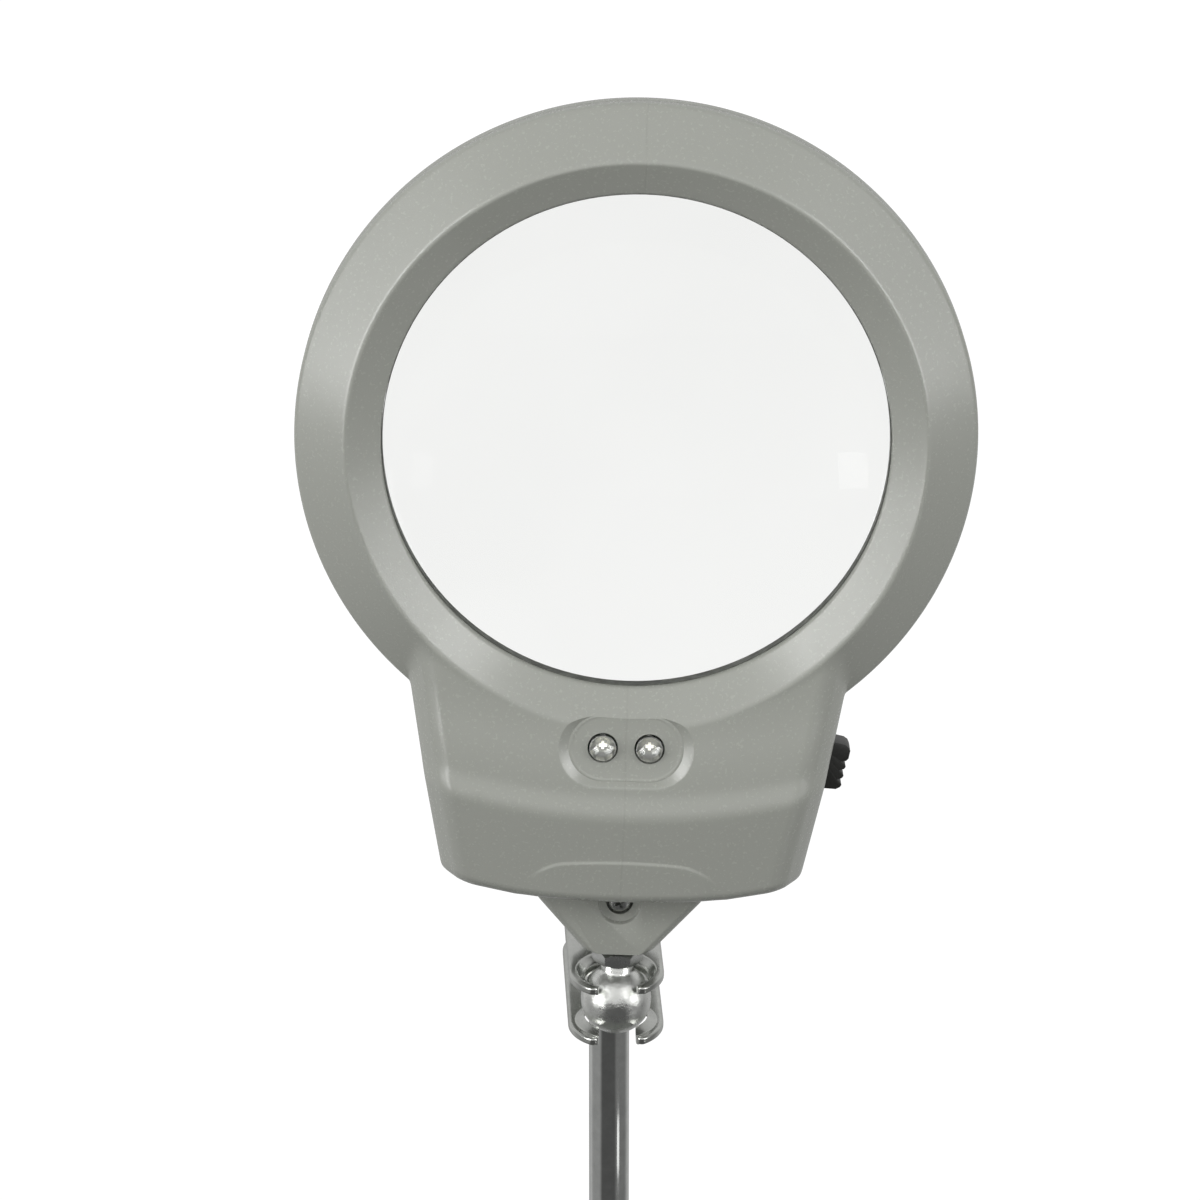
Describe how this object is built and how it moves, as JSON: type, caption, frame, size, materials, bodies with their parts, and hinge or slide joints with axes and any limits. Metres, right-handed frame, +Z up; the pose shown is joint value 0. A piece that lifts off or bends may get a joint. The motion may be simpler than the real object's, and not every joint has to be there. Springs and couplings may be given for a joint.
{
  "type": "magnifying lamp",
  "caption": "Bench magnifying lamp: a round lens in a ring-shaped head with lamps below it, held by a twin-ball clamp on an upright rod in a flat heavy base.",
  "frame": {"origin": "centre of the base's footprint, on the surface that the rubber feet stand on", "axes": "+Z up, +X to the right and -Y towards the user, as seen by someone who looks through the lens"},
  "size_m": [0.15, 0.1, 0.3288],
  "materials": {
    "grey_plastic": "satin moulded ABS",
    "black_plastic": "satin",
    "lens_glass": "polished, clear",
    "led_epoxy": "clear cast epoxy",
    "chrome": "bright plated",
    "zinc_plate": "bright zinc plating, slightly mottled",
    "cast_iron": "grey hammered enamel",
    "rubber": "matt",
    "circuit_board": "solder mask",
    "battery_sleeve": "plain dark sleeve over the can",
    "nickel": "nickel plated spring steel",
    "red_wire": "PVC sleeve",
    "black_wire": "PVC sleeve"
  },
  "bodies": {
    "stand": {"base_casting": "cast_iron", "foot_front_left": "rubber", "foot_front_right": "rubber", "foot_rear_left": "rubber", "foot_rear_right": "rubber", "rod": "chrome", "rod_washer": "zinc_plate", "rod_spring_washer": "zinc_plate", "rod_nut": "zinc_plate"},
    "rod_ball": {"rod_ball_stud": "zinc_plate"},
    "clamp": {"clamp_plate_upper": "chrome", "clamp_plate_lower": "chrome", "clamp_screw": "zinc_plate", "clamp_washer": "zinc_plate"},
    "wing_nut": {"wing_nut": "zinc_plate"},
    "head_ball": {"head_ball_stud": "zinc_plate", "stud_lock_nut": "zinc_plate"},
    "head": {"front_housing": "grey_plastic", "rear_housing": "grey_plastic", "tongue_cap": "grey_plastic", "tongue_screw": "zinc_plate", "stud_insert_nut": "zinc_plate", "lens": "lens_glass", "lens_retainer": "black_plastic", "led_board": "circuit_board", "led_left": "led_epoxy", "led_right": "led_epoxy", "led_resistor": "battery_sleeve", "switch_body": "black_plastic", "contact_plate_left": "nickel", "contact_plate_right": "nickel", "contact_spring_upper": "nickel", "contact_spring_middle": "nickel", "contact_spring_lower": "nickel", "battery_upper": "battery_sleeve", "battery_middle": "battery_sleeve", "battery_lower": "battery_sleeve", "wire_positive": "red_wire", "wire_negative": "black_wire", "housing_screw_1": "zinc_plate", "housing_screw_2": "zinc_plate", "housing_screw_3": "zinc_plate", "housing_screw_4": "zinc_plate", "housing_screw_5": "zinc_plate"},
    "switch_knob": {"switch_knob": "black_plastic"},
    "battery_door": {"battery_door": "grey_plastic"}
  },
  "joints": [
    {"name": "arm_swivel", "type": "hinge", "parent": "stand", "child": "rod_ball", "pos_m": [0, 0.025, 0.165], "axis": [0, 0, 1], "continuous": true},
    {"name": "arm_tilt", "type": "hinge", "parent": "rod_ball", "child": "clamp", "pos_m": [0, 0.025, 0.165], "axis": [-0.999, -0.0436, 0], "range_deg": [-14, 45]},
    {"name": "wing_nut_turn", "type": "hinge", "parent": "clamp", "child": "wing_nut", "pos_m": [0.0006, 0.01134, 0.16356], "axis": [0.0046, -0.1044, 0.9945], "range_deg": [-15, 40]},
    {"name": "head_tilt", "type": "hinge", "parent": "clamp", "child": "head_ball", "pos_m": [0.00119, -0.00232, 0.16212], "axis": [0.999, 0.0436, 0], "range_deg": [-1, 30]},
    {"name": "head_turn", "type": "hinge", "parent": "head_ball", "child": "head", "pos_m": [0.00119, -0.00232, 0.16212], "axis": [0.0314, 0, 0.9995], "continuous": true},
    {"name": "switch_slide", "type": "slide", "parent": "head", "child": "switch_knob", "axis": [-0.2032, 0, -0.9791], "range_m": [0, 0.003]},
    {"name": "battery_door_hinge", "type": "hinge", "parent": "head", "child": "battery_door", "pos_m": [0.00213, 0.00458, 0.19191], "axis": [-0.9995, 0, 0.0314], "range_deg": [0, 85]}
  ]
}
